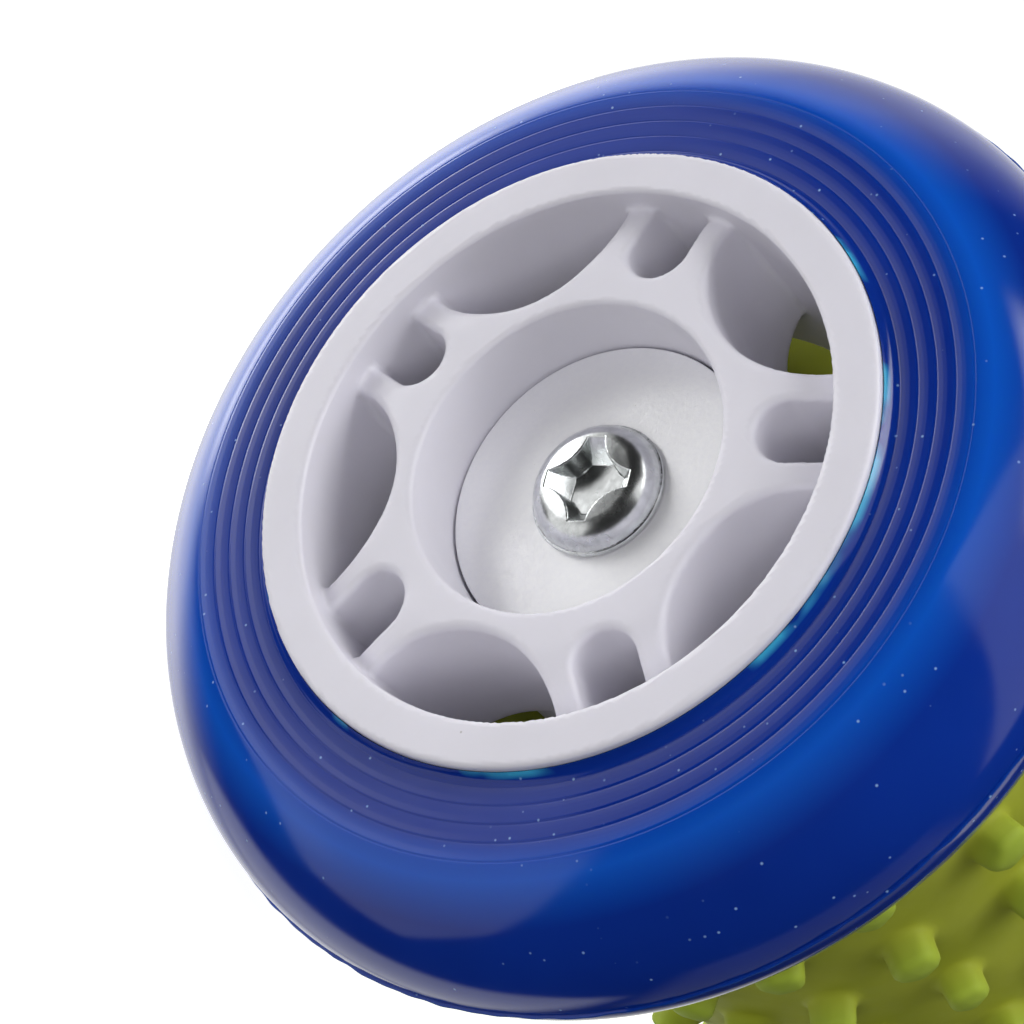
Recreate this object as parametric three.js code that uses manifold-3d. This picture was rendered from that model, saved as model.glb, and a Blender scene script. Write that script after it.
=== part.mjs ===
/**
 * Foot massage roller: a soft nubbed drum between two soft-tyred wheels, all turning on one steel axle.
 *
 * Units are millimetres and +Z is up. The axle lies along X and the tyres stand on z = 0, so the origin
 * is the middle of the bottom of the bounding box. Every round piece is turned about the X axis. A
 * wheel's pieces are measured from the outer face of its core, and a drum end's pieces from the drum's
 * end face, with +X pointing inwards. The right-hand end is the left-hand end turned half round.
 */
import * as THREE from "three";
import { mergeVertices } from "three/addons/utils/BufferGeometryUtils.js";
import Module from "manifold-3d";

const wasm = await Module();
wasm.setup();

// Gaps between neighbouring pieces.
const TOUCH = 0.05;
const RUNNING_GAP = 0.3;
const PRESS_GAP = 0.15;

// Axle tube, with a tapped insert pressed into each end for the retaining screw.
const AXLE_RADIUS = 6;
const AXLE_WALL = 1.5;
const AXLE_CHAMFER = 0.4;
const BORE_RADIUS = AXLE_RADIUS + RUNNING_GAP;
const SCREW_RADIUS = 2.5;
const TAPPED_RADIUS = SCREW_RADIUS + RUNNING_GAP;
const INSERT_LENGTH = 16;

// Wheel core: a rim and a hub joined by a web, with the two seats of a standard skate bearing.
const WHEEL_WIDTH = 19;
const CORE_RADIUS = 21.7;
const RIM_INNER_RADIUS = 18.85;
const SEAT_RADIUS = 11;
const SEAT_DEPTH = 7;
const HUB_RADIUS = 13.4;
const HUB_INSET = 1.1;
const WEB_FRONT = 2.2;
const WEB_BACK = 13.3;
const FRONT_SHOULDER = HUB_INSET + SEAT_DEPTH;
const BACK_SHOULDER = WHEEL_WIDTH - FRONT_SHOULDER;
const RIM_CHAMFER = 0.3;

// Rib round the core that keys the tyre to it.
const RIB_RADIUS = 24.2;
const RIB_WIDTH = 6;

// Openings between the spokes: five wide bays and, between them, five narrow slots with a round end.
const BAY_COUNT = 5;
const BAY_CENTRE = 20.83;
const BAY_RADIUS = 8.33;
const SLOT_HALF_WIDTH = 2.15;
const SLOT_END_CENTRE = 15.3;

// Tyre.
const TYRE_RADIUS = 34.1;
const TYRE_INSET = 1.2;
const TYRE_SHOULDER_RADIUS = 27.3;
const CROWN_HALF_WIDTH = 1;

// Retaining washer, which bears on the axle's end, and its flat-topped pan-head screw.
const WASHER_THICKNESS = 1.2;
const WASHER_BACK = FRONT_SHOULDER - RUNNING_GAP;
const WASHER_FRONT = WASHER_BACK - WASHER_THICKNESS;
const HEAD_RADIUS = 4.7;
const HEAD_HEIGHT = 2.1;
const HEAD_SHOULDER = 1.6;
const SHANK_LENGTH = 15;
const RECESS_LENGTH = 6.1;
const RECESS_WIDTH = 1.3;
const RECESS_DEPTH = 1.7;
const RECESS_TURN = THREE.MathUtils.degToRad(47.5);

// Bush in the wheel's inner seat, and the thrust washer between it and the drum.
const WHEEL_BUSH_LENGTH = 7.5;
const WHEEL_BUSH_END = BACK_SHOULDER + WHEEL_BUSH_LENGTH;
const WHEEL_GAP = 2;
const THRUST_RADIUS = 9.5;

// Drum: a soft skin with turned-in ends over a rigid tube, which two plugs carry on flanged bushes.
const DRUM_LENGTH = 121;
const SKIN_RADIUS = 23.5;
const SKIN_WALL = 2.5;
const SKIN_HOLE_RADIUS = 12;
const SKIN_CHAMFER = 1;
const TUBE_RADIUS = 20.4;
const TUBE_WALL = 2.2;
const PLUG_HUB_RADIUS = SKIN_HOLE_RADIUS - RUNNING_GAP;
const PLUG_BORE_RADIUS = 8.5;
const PLUG_HUB_LENGTH = 16;
const PLUG_FLANGE = 4;
const PLUG_SPIGOT = 6;
const PLUG_SPIGOT_WALL = 2.5;
const BUSH_FLANGE_RADIUS = 10.5;
const BUSH_FLANGE = 0.9;

// Nubs: rows along the drum, each row half a pitch out of step with the last.
const NUB_ROWS = 18;
const NUB_PITCH = 9;
const NUB_RADIUS = 1.9;
const NUB_HEIGHT = 2.9;
const NUB_TAPER = 0.8;
const NUB_ROOT = 1;
const NUB_SIDES = 5;
const NUB_END_MARGIN = 4;
const NUB_ROW_START = THREE.MathUtils.degToRad(4);

// Number of flats on the round pieces. A flat of the tyre faces the floor.
const TYRE_SIDES = 36;
const CORE_SIDES = 32;
const DRUM_SIDES = 24;
const SMALL_SIDES = 24;
const BAY_SIDES = 16;
const SLOT_END_SIDES = 6;

const OBJECT_LENGTH = DRUM_LENGTH + 2 * (WHEEL_WIDTH + WHEEL_GAP);
const AXLE_HEIGHT = TYRE_RADIUS * Math.cos(Math.PI / TYRE_SIDES);
const AXLE_LENGTH = OBJECT_LENGTH - 2 * (WASHER_BACK + TOUCH);

/** Turns a closed geometry into a manifold solid, with its corners shared and its empty faces dropped. */
function solid(geometry) {
  const bare = geometry.clone();
  bare.deleteAttribute("normal");
  bare.deleteAttribute("uv");
  const merged = mergeVertices(bare);
  const corners = Array.from(merged.index.array);
  const faces = [];
  for (let i = 0; i < corners.length; i += 3) {
    const face = corners.slice(i, i + 3);
    if (new Set(face).size === 3) {
      faces.push(...face);
    }
  }
  const vertProperties = Float32Array.from(merged.attributes.position.array);
  return new wasm.Manifold(new wasm.Mesh({ numProp: 3, vertProperties, triVerts: Uint32Array.from(faces) }));
}

/** Turns a manifold solid back into a geometry. */
function geometryOf(manifold) {
  const { vertProperties, triVerts } = manifold.getMesh();
  const geometry = new THREE.BufferGeometry();
  geometry.setAttribute("position", new THREE.BufferAttribute(vertProperties, 3));
  geometry.setIndex(new THREE.BufferAttribute(triVerts, 1));
  geometry.computeVertexNormals();
  return geometry;
}

/** Revolves an outline of [x, radius] points about the X axis, with a flat facing down (-Z). */
function turned(outline, sides = SMALL_SIDES, phase = Math.PI / sides) {
  const points = outline.map(([x, radius]) => new THREE.Vector2(radius, x));
  if (THREE.ShapeUtils.isClockWise(points)) {
    points.reverse();
  }
  points.push(points[0].clone());
  return solid(new THREE.LatheGeometry(points, sides, phase).rotateZ(-Math.PI / 2));
}

/** A plain ring from one x to another. */
function ring(start, end, innerRadius, outerRadius, sides) {
  return turned([[start, innerRadius], [start, outerRadius], [end, outerRadius], [end, innerRadius]], sides);
}

/** Extrudes a shape drawn in the Y-Z plane along +X, starting at x = 0. */
function extruded(shape, length, curveSegments) {
  const geometry = new THREE.ExtrudeGeometry(shape, { depth: length, bevelEnabled: false, curveSegments });
  const axes = new THREE.Matrix4().makeBasis(
    new THREE.Vector3(0, 1, 0),
    new THREE.Vector3(0, 0, 1),
    new THREE.Vector3(1, 0, 0),
  );
  return geometry.applyMatrix4(axes);
}

/** A copy of a geometry, turned about the X axis from Z towards Y and moved along it, as a solid. */
function placed(geometry, angle, x = 0) {
  return solid(geometry.clone().rotateX(-angle).translate(x, 0, 0));
}

/** The bays and slots that pass through the web, as one cutter per shape. */
function coreOpenings() {
  const bay = new THREE.Shape();
  bay.absarc(0, BAY_CENTRE, BAY_RADIUS, 0, 2 * Math.PI);
  const slot = new THREE.Shape();
  slot.moveTo(SLOT_HALF_WIDTH, CORE_RADIUS);
  slot.lineTo(-SLOT_HALF_WIDTH, CORE_RADIUS);
  slot.absarc(0, SLOT_END_CENTRE, SLOT_HALF_WIDTH, Math.PI, 2 * Math.PI);
  const insideRim = turned(
    [[-1, 0], [-1, RIM_INNER_RADIUS], [WHEEL_WIDTH + 1, RIM_INNER_RADIUS], [WHEEL_WIDTH + 1, 0]],
    CORE_SIDES,
  );
  const bayCutter = extruded(bay, WHEEL_WIDTH, BAY_SIDES);
  const slotCutter = extruded(slot, WHEEL_WIDTH, SLOT_END_SIDES);
  const step = (2 * Math.PI) / BAY_COUNT;
  const cutters = [];
  for (let i = 0; i < BAY_COUNT; i += 1) {
    cutters.push(placed(bayCutter, i * step), placed(slotCutter, (i + 0.5) * step));
  }
  return cutters.map((cutter) => cutter.intersect(insideRim));
}

function wheelCore() {
  const ribStart = (WHEEL_WIDTH - RIB_WIDTH) / 2;
  const ribEnd = ribStart + RIB_WIDTH;
  const hubBack = WHEEL_WIDTH - HUB_INSET;
  const body = turned([
    [FRONT_SHOULDER, BORE_RADIUS],
    [FRONT_SHOULDER, SEAT_RADIUS],
    [HUB_INSET, SEAT_RADIUS],
    [HUB_INSET, HUB_RADIUS],
    [WEB_FRONT, RIM_INNER_RADIUS],
    [0, RIM_INNER_RADIUS],
    [0, CORE_RADIUS - RIM_CHAMFER],
    [RIM_CHAMFER, CORE_RADIUS],
    [ribStart, CORE_RADIUS],
    [ribStart, RIB_RADIUS],
    [ribEnd, RIB_RADIUS],
    [ribEnd, CORE_RADIUS],
    [WHEEL_WIDTH - RIM_CHAMFER, CORE_RADIUS],
    [WHEEL_WIDTH, CORE_RADIUS - RIM_CHAMFER],
    [WHEEL_WIDTH, RIM_INNER_RADIUS],
    [WEB_BACK, RIM_INNER_RADIUS],
    [WEB_BACK, HUB_RADIUS],
    [hubBack, HUB_RADIUS],
    [hubBack, SEAT_RADIUS],
    [BACK_SHOULDER, SEAT_RADIUS],
    [BACK_SHOULDER, BORE_RADIUS],
  ], CORE_SIDES);
  return coreOpenings().reduce((core, opening) => core.subtract(opening), body);
}

/** Tyre: flat sides and a round tread with a narrow flat crown, grooved inside for the core's rib. */
function tyre() {
  const middle = WHEEL_WIDTH / 2;
  const treadWidth = middle - TYRE_INSET - CROWN_HALF_WIDTH;
  const treadHeight = TYRE_RADIUS - TYRE_SHOULDER_RADIUS;
  const boreRadius = CORE_RADIUS + PRESS_GAP;
  const grooveRadius = RIB_RADIUS + PRESS_GAP;
  const grooveHalfWidth = RIB_WIDTH / 2 + PRESS_GAP;
  const outline = [[TYRE_INSET, boreRadius]];
  const steps = 4;
  for (let i = 0; i <= steps; i += 1) {
    const angle = (Math.PI / 2) * (i / steps);
    const fromMiddle = CROWN_HALF_WIDTH + treadWidth * Math.cos(angle);
    const radius = TYRE_SHOULDER_RADIUS + treadHeight * Math.sin(angle);
    outline.splice(1 + i, 0, [middle - fromMiddle, radius], [middle + fromMiddle, radius]);
  }
  outline.push(
    [WHEEL_WIDTH - TYRE_INSET, boreRadius],
    [middle + grooveHalfWidth, boreRadius],
    [middle + grooveHalfWidth, grooveRadius],
    [middle - grooveHalfWidth, grooveRadius],
    [middle - grooveHalfWidth, boreRadius],
  );
  return turned(outline, TYRE_SIDES);
}

/** Flat-topped pan-head screw with a cross recess: head outside the washer, shank pointing inwards. */
function retainingScrew() {
  const headBase = WASHER_FRONT - TOUCH;
  const headTop = headBase - HEAD_HEIGHT;
  const topRadius = HEAD_RADIUS - HEAD_SHOULDER;
  const outline = [[headBase, HEAD_RADIUS]];
  const steps = 6;
  for (let i = 0; i <= steps; i += 1) {
    const angle = (Math.PI / 2) * (i / steps);
    const x = headTop + HEAD_SHOULDER * (1 - Math.sin(angle));
    outline.push([x, topRadius + HEAD_SHOULDER * Math.cos(angle)]);
  }
  outline.push(
    [headTop, 0],
    [headBase + SHANK_LENGTH, 0],
    [headBase + SHANK_LENGTH, SCREW_RADIUS - AXLE_CHAMFER],
    [headBase + SHANK_LENGTH - AXLE_CHAMFER, SCREW_RADIUS],
    [headBase, SCREW_RADIUS],
  );
  const recessFloor = headTop + RECESS_DEPTH;
  const arms = [[RECESS_LENGTH, RECESS_WIDTH], [RECESS_WIDTH, RECESS_LENGTH]];
  let screw = turned(outline);
  for (const [height, width] of arms) {
    const arm = new THREE.BoxGeometry(2 * RECESS_DEPTH, width, height);
    arm.translate(recessFloor - RECESS_DEPTH, 0, 0);
    screw = screw.subtract(placed(arm, RECESS_TURN));
  }
  return screw;
}

/** Steel tube that everything turns on. */
function axle() {
  const end = AXLE_LENGTH / 2;
  const inner = AXLE_RADIUS - AXLE_WALL;
  return turned([
    [-end, inner],
    [-end, AXLE_RADIUS - AXLE_CHAMFER],
    [AXLE_CHAMFER - end, AXLE_RADIUS],
    [end - AXLE_CHAMFER, AXLE_RADIUS],
    [end, AXLE_RADIUS - AXLE_CHAMFER],
    [end, inner],
  ]);
}

/** Tapped insert, flush with the axle's end. */
function threadedInsert() {
  const start = WASHER_BACK + TOUCH;
  return ring(start, start + INSERT_LENGTH, TAPPED_RADIUS, AXLE_RADIUS - AXLE_WALL - PRESS_GAP);
}

/** One nub standing on the skin, at the top of the drum. */
function nub() {
  const flatRadius = SKIN_RADIUS * Math.cos(Math.PI / NUB_ROWS);
  const tipRadius = NUB_RADIUS * NUB_TAPER;
  const peg = new THREE.CylinderGeometry(tipRadius, NUB_RADIUS, NUB_HEIGHT + NUB_ROOT, NUB_SIDES);
  peg.rotateX(Math.PI / 2);
  return peg.translate(0, 0, flatRadius + (NUB_HEIGHT - NUB_ROOT) / 2);
}

/** Places of the nubs: the turn about the axle and the distance from the drum's middle. */
function nubPlaces() {
  const reach = DRUM_LENGTH / 2 - NUB_END_MARGIN;
  const places = [];
  for (let row = 0; row < NUB_ROWS; row += 1) {
    const shift = row % 2 === 0 ? NUB_PITCH / 2 : 0;
    const angle = NUB_ROW_START + (2 * Math.PI * row) / NUB_ROWS;
    const first = Math.ceil((-reach - shift) / NUB_PITCH);
    for (let x = first * NUB_PITCH + shift; x <= reach; x += NUB_PITCH) {
      places.push([angle, x]);
    }
  }
  return places;
}

/** Soft skin of the drum, with its nubs moulded on and its ends turned in round the plugs. */
function drumSkin() {
  const end = DRUM_LENGTH / 2;
  const inner = SKIN_RADIUS - SKIN_WALL;
  const body = turned([
    [-end, SKIN_HOLE_RADIUS],
    [-end, SKIN_RADIUS - SKIN_CHAMFER],
    [SKIN_CHAMFER - end, SKIN_RADIUS],
    [end - SKIN_CHAMFER, SKIN_RADIUS],
    [end, SKIN_RADIUS - SKIN_CHAMFER],
    [end, SKIN_HOLE_RADIUS],
    [end - SKIN_WALL, SKIN_HOLE_RADIUS],
    [end - SKIN_WALL, inner],
    [SKIN_WALL - end, inner],
    [SKIN_WALL - end, SKIN_HOLE_RADIUS],
  ], NUB_ROWS, Math.PI / NUB_ROWS - NUB_ROW_START);
  const peg = nub();
  return nubPlaces().reduce((skin, [angle, x]) => skin.add(placed(peg, angle, x)), body);
}

/** Plug that closes one end of the tube and carries a bush. */
function endPlug() {
  const flangeStart = SKIN_WALL + RUNNING_GAP;
  const flangeEnd = flangeStart + PLUG_FLANGE;
  const spigotEnd = flangeEnd + PLUG_SPIGOT;
  const spigotRadius = TUBE_RADIUS - TUBE_WALL - RUNNING_GAP;
  return turned([
    [BUSH_FLANGE + TOUCH, PLUG_BORE_RADIUS],
    [BUSH_FLANGE + TOUCH, PLUG_HUB_RADIUS],
    [flangeStart, PLUG_HUB_RADIUS],
    [flangeStart, TUBE_RADIUS],
    [flangeEnd, TUBE_RADIUS],
    [flangeEnd, spigotRadius],
    [spigotEnd, spigotRadius],
    [spigotEnd, spigotRadius - PLUG_SPIGOT_WALL],
    [flangeEnd, spigotRadius - PLUG_SPIGOT_WALL],
    [flangeEnd, PLUG_HUB_RADIUS],
    [PLUG_HUB_LENGTH, PLUG_HUB_RADIUS],
    [PLUG_HUB_LENGTH, PLUG_BORE_RADIUS],
  ], DRUM_SIDES);
}

/** Flanged bush that turns on the axle in a plug's bore. */
function drumBush() {
  const barrelRadius = PLUG_BORE_RADIUS - PRESS_GAP;
  return turned([
    [0, BORE_RADIUS],
    [0, BUSH_FLANGE_RADIUS],
    [BUSH_FLANGE, BUSH_FLANGE_RADIUS],
    [BUSH_FLANGE, barrelRadius],
    [PLUG_HUB_LENGTH, barrelRadius],
    [PLUG_HUB_LENGTH, BORE_RADIUS],
  ]);
}

/** Rigid tube under the skin, between the flanges of the two plugs. */
function drumTube() {
  const half = DRUM_LENGTH / 2 - SKIN_WALL - PLUG_FLANGE - 2 * RUNNING_GAP;
  return ring(-half, half, TUBE_RADIUS - TUBE_WALL, TUBE_RADIUS, DRUM_SIDES);
}

/** A material's colour, roughness and metalness. */
const MATERIALS = {
  bluePolyurethane: { color: 0x0b2f9c, roughness: 0.25, metalness: 0 },
  whiteAbs: { color: 0xd8d5dc, roughness: 0.5, metalness: 0 },
  zincPlate: { color: 0xc9ccd2, roughness: 0.35, metalness: 1 },
  nickelPlate: { color: 0xd4d6da, roughness: 0.15, metalness: 1 },
  greenVinyl: { color: 0x86a51f, roughness: 0.4, metalness: 0 },
  nylon: { color: 0xe9e6dc, roughness: 0.5, metalness: 0 },
  greyPlastic: { color: 0x8b8d90, roughness: 0.6, metalness: 0 },
  groundSteel: { color: 0xa9acb0, roughness: 0.3, metalness: 1 },
};

/** A named mesh with a material of its own. */
function piece(name, geometry, material) {
  const mesh = new THREE.Mesh(geometry, new THREE.MeshStandardMaterial(MATERIALS[material]));
  mesh.name = name;
  return mesh;
}

const shapes = {
  core: geometryOf(wheelCore()),
  tyre: geometryOf(tyre()),
  wheelBush: geometryOf(
    ring(BACK_SHOULDER + TOUCH, WHEEL_BUSH_END, BORE_RADIUS, SEAT_RADIUS - PRESS_GAP),
  ),
  washer: geometryOf(ring(WASHER_FRONT, WASHER_BACK, TAPPED_RADIUS, SEAT_RADIUS - PRESS_GAP)),
  screw: geometryOf(retainingScrew()),
  threadedInsert: geometryOf(threadedInsert()),
  thrustWasher: geometryOf(
    ring(WHEEL_BUSH_END + RUNNING_GAP, WHEEL_WIDTH + WHEEL_GAP - RUNNING_GAP, BORE_RADIUS, THRUST_RADIUS),
  ),
  plug: geometryOf(endPlug()),
  drumBush: geometryOf(drumBush()),
};

/** One wheel with the fittings that hold it on the axle. */
function wheelEnd(side) {
  const end = new THREE.Group();
  end.add(
    piece(`${side}_core`, shapes.core, "whiteAbs"),
    piece(`${side}_tyre`, shapes.tyre, "bluePolyurethane"),
    piece(`${side}_wheel_bush`, shapes.wheelBush, "nylon"),
    piece(`${side}_retaining_washer`, shapes.washer, "zincPlate"),
    piece(`${side}_retaining_screw`, shapes.screw, "nickelPlate"),
    piece(`${side}_threaded_insert`, shapes.threadedInsert, "zincPlate"),
    piece(`${side}_thrust_washer`, shapes.thrustWasher, "nylon"),
  );
  end.position.x = -OBJECT_LENGTH / 2;
  return end;
}

/** The plug and bush in one end of the drum. */
function drumEnd(side) {
  const end = new THREE.Group();
  end.add(
    piece(`${side}_end_plug`, shapes.plug, "greyPlastic"),
    piece(`${side}_drum_bush`, shapes.drumBush, "nylon"),
  );
  end.position.x = -DRUM_LENGTH / 2;
  return end;
}

const roller = new THREE.Group();
for (const [side, turn] of [["left", 0], ["right", Math.PI]]) {
  const half = new THREE.Group();
  half.add(wheelEnd(side), drumEnd(side));
  half.rotation.z = turn;
  roller.add(half);
}
roller.add(
  piece("axle", geometryOf(axle()), "groundSteel"),
  piece("drum_tube", geometryOf(drumTube()), "greyPlastic"),
  piece("drum_skin", geometryOf(drumSkin()), "greenVinyl"),
);
roller.position.z = AXLE_HEIGHT;

export default roller;
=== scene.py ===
"""Looks of the foot massage roller: fine meshes, procedural materials, studio light and camera.

Shapes are worked out in millimetres. The pieces of a wheel and of a drum end are measured from the outer
face of the wheel's core, with +X pointing inwards along the axle. The right-hand end is the left-hand end
turned half round. The drum's skin, its tube and the axle tube are measured from their middle.
"""
import itertools
import math

import bpy
import numpy as np
from mathutils import Matrix, Quaternion, Vector


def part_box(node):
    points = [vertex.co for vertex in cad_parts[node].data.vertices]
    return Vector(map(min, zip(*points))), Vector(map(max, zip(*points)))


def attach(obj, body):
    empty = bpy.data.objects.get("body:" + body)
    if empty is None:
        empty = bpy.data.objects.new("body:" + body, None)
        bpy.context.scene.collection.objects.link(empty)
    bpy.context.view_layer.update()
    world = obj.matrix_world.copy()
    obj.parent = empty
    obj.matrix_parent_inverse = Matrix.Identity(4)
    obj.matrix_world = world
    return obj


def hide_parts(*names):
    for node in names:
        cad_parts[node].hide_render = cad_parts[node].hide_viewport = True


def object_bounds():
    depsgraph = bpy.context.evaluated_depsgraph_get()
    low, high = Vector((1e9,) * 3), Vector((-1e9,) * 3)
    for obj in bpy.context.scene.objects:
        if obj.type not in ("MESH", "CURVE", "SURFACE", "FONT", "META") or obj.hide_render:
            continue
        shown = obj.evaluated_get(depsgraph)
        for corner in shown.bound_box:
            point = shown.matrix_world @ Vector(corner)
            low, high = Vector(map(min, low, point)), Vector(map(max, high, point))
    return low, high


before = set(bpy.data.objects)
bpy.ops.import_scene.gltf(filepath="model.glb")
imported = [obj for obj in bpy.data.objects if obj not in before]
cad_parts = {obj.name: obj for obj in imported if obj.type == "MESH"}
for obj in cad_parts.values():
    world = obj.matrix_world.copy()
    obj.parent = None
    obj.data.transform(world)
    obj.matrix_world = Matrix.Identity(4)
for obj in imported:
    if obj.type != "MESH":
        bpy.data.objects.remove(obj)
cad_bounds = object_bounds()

MM = 0.001

# ---------------------------------------------------------------- sizes, in millimetres


def cad_size(node):
    """A CAD node's extent along X, Y and Z."""
    low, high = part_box(node)
    return (high - low) / MM


def cad_start(node):
    """A CAD node's distance from the left wheel's outer face."""
    return (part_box(node)[0].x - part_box("left_core")[0].x) / MM


AXLE_HEIGHT = (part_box("axle")[0].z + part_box("axle")[1].z) / 2 / MM
OBJECT_LENGTH = (cad_bounds[1].x - cad_bounds[0].x) / MM
WHEEL_WIDTH = cad_size("left_core").x
WHEEL_MIDDLE = WHEEL_WIDTH / 2
DRUM_LENGTH = cad_size("drum_skin").x
AXLE_LENGTH = cad_size("axle").x
AXLE_RADIUS = 6
AXLE_WALL = 1.5
BORE_RADIUS = 6.2

CORE_RADIUS = 21.7
TYRE_BORE = CORE_RADIUS + 0.05
TYRE_BORE_INSET = 5
RIM_INNER_RADIUS = 18.85
RIM_DRAFT = 0.02
RIM_EDGE = 0.35
RIM_INNER_EDGE = 0.3
SEAT_RADIUS = 11
SEAT_DEPTH = 7
SEAT_DRAFT = 0.008
SEAT_EDGE = 0.35
HUB_RADIUS = 13.4
HUB_INSET = 1.1
HUB_EDGE = 0.4
WEB_FRONT = 2.2
WEB_BACK = 13.3
WEB_OVERLAP = 1
WEB_EDGE = 0.5
WEB_FILLET = 0.45
BAY_COUNT = 5
BAY_CENTRE = 20.83
BAY_RADIUS = 8.33
SLOT_HALF_WIDTH = 2.15
SLOT_END_CENTRE = 15.3
DRAFT = 0.065
FRONT_SHOULDER = HUB_INSET + SEAT_DEPTH
CORE_STEP = 0.36
CORE_MARGIN = 0.6
CORE_GRID_START = -0.53

TYRE_RADIUS = AXLE_HEIGHT
TYRE_INSET = 1.2
TYRE_SHOULDER_RADIUS = 27.3
TYRE_WALL_POINTS = 110
TYRE_SHOULDER_POINTS = 48
TYRE_SEGMENTS = 300
RIDGE_COUNT = 5
RIDGE_PITCH = 1.18
RIDGE_PROFILE = ((0.0, 0.25, 0.5, 0.86, 0.93, 1.0), (0.0, 0.022, 0.032, 0.032, -0.02, 0.0))
SHOULDER_TAPER = 1.55
LIP_RISE = 0.65
LIP_WIDTH = 0.7
FLASH_HEIGHT = 0.3
FLASH_HALF_WIDTH = 0.14
FLASH_ROOT_DEPTH = 0.25
FLASH_LEAN = 0.12
FLASH_SEGMENTS = 720

WASHER_FRONT = cad_start("left_retaining_washer")
WASHER_THICKNESS = cad_size("left_retaining_washer").x
WASHER_CLEARANCE = 0.28
WASHER_BORE = 2.7
WASHER_EDGE = 0.15
WASHER_SEGMENTS = 160
INSERT_BORE = 2.6
INSERT_RADIUS = 4.35
WHEEL_BUSH_GAP = 0.15
BUSH_FLANGE = 0.9
BUSH_BARREL_RADIUS = 8.3
BUSH_FLANGE_RADIUS = 10.5
THRUST_RADIUS = 9.5
PLUG_BORE = 8.45
PLUG_GAP = 0.05
PLUG_DISC_GAP = 0.3
PLUG_HUB_LENGTH = 16
PLUG_HUB_RADIUS = 11.6
PLUG_DISC = 4
PLUG_SKIRT = 10
PLUG_SKIRT_INNER = 15.4
PLUG_SKIRT_OUTER = 17.9
PLUG_RADIUS = 20.3
HEAD_RADIUS = 4.7
HEAD_HEIGHT = 2.1
HEAD_GAP = 0.12
HEAD_SHOULDER = 1.55
CROWN_RADIUS = 30
FLANGE_HEIGHT = 0.38
PAN_INSET = 0.15
HEAD_EDGE = 0.1
SHANK_RADIUS = 2.45
SHANK_LENGTH = cad_size("left_retaining_screw").x - HEAD_HEIGHT
RECESS_REACH = 3.15
RECESS_DEPTH = 1.85
RECESS_TAPER = 0.75
RECESS_EDGE = 0.08
RECESS_POST_RADIUS = 2.77
RECESS_POST_CENTRE = 3.36
RECESS_POST_DRAFT = 0.1
RECESS_TURN = math.radians(47.5)
SCREW_STEP = 0.09
SCREW_MARGIN = 0.3

SKIN_RADIUS = 23.45
SKIN_HOLE_RADIUS = 12
SKIN_WALL = 2.5
SKIN_EDGE = 1.2
END_WALL_MIDDLE = 18
HOLE_CHAMFER = 0.2
WELD_REACH = 0.02
TUBE_INNER = 18.2
TUBE_OUTER = 20.4
NUB_ROWS = 18
NUB_PITCH = 9
LONG_ROW_COUNT = 13
NUB_RADIUS = 1.7
NUB_HEIGHT = 2.6
NUB_ROW_START = math.radians(4)

# ---------------------------------------------------------------- mesh making


def mesh_object(name, points, faces, normals=None):
    """A smooth-shaded mesh object from millimetre points, with exact normals where they are known."""
    mesh = bpy.data.meshes.new(name)
    mesh.from_pydata((np.asarray(points) * MM).tolist(), [], np.asarray(faces).tolist())
    mesh.shade_smooth()
    if normals is not None:
        mesh.normals_split_custom_set_from_vertices(np.asarray(normals).tolist())
    piece = bpy.data.objects.new(name, mesh)
    bpy.context.scene.collection.objects.link(piece)
    return piece


def finish_piece(piece, body, nodes, slot, material):
    """Gives a piece its material and its CAD body, and hides the CAD nodes it stands for. The slot
    argument is not used.
    """
    piece.data.materials.append(material)
    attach(piece, body)
    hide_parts(*nodes)
    return piece


def place_at_end(piece, side):
    """Puts a piece measured from a wheel's outer face at the left or right end of the roller."""
    turn = 0.0 if side == "left" else math.pi
    half = Matrix.Rotation(turn, 4, "Z")
    shift = Matrix.Translation(Vector((-OBJECT_LENGTH / 2, 0, 0)) * MM)
    piece.matrix_world = Matrix.Translation((0, 0, AXLE_HEIGHT * MM)) @ half @ shift


def rounded(outline, radius, steps=4):
    """Replaces each corner of a closed outline by an arc. Returns its points and their normals."""
    corners = np.asarray(outline, float)
    count = len(corners)
    area = sum(
        corners[i - 1][0] * corners[i][1] - corners[i][0] * corners[i - 1][1] for i in range(count)
    )
    if area > 0:
        corners = corners[::-1]
    points = []
    normals = []
    for i in range(count):
        back = corners[i - 1] - corners[i]
        ahead = corners[(i + 1) % count] - corners[i]
        back_length = np.linalg.norm(back)
        ahead_length = np.linalg.norm(ahead)
        back /= back_length
        ahead /= ahead_length
        half_angle = math.acos(np.clip(back @ ahead, -1, 1)) / 2
        reach = min(radius / math.tan(half_angle), 0.45 * back_length, 0.45 * ahead_length)
        arc_radius = reach * math.tan(half_angle)
        middle = corners[i] + (back + ahead) / np.linalg.norm(back + ahead) * reach / math.cos(half_angle)
        convex = back[0] * ahead[1] - back[1] * ahead[0] > 0
        first = corners[i] + back * reach - middle
        last = corners[i] + ahead * reach - middle
        turn = math.atan2(first[0] * last[1] - first[1] * last[0], first @ last)
        for k in range(steps + 1):
            angle = turn * k / steps
            spoke = np.array(
                [
                    first[0] * math.cos(angle) - first[1] * math.sin(angle),
                    first[0] * math.sin(angle) + first[1] * math.cos(angle),
                ]
            )
            points.append(middle + spoke)
            normals.append(spoke / arc_radius if convex else -spoke / arc_radius)
    return np.array(points), np.array(normals)


def tube_faces(segments, count):
    """Quads between neighbouring rings of a closed tube: `segments` rings of `count` points each."""
    ring = np.arange(segments)[:, None] * count
    next_ring = (np.arange(segments)[:, None] + 1) % segments * count
    here = np.arange(count)[None]
    there = (here + 1) % count
    return np.stack([ring + here, ring + there, next_ring + there, next_ring + here], -1).reshape(-1, 4)


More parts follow.
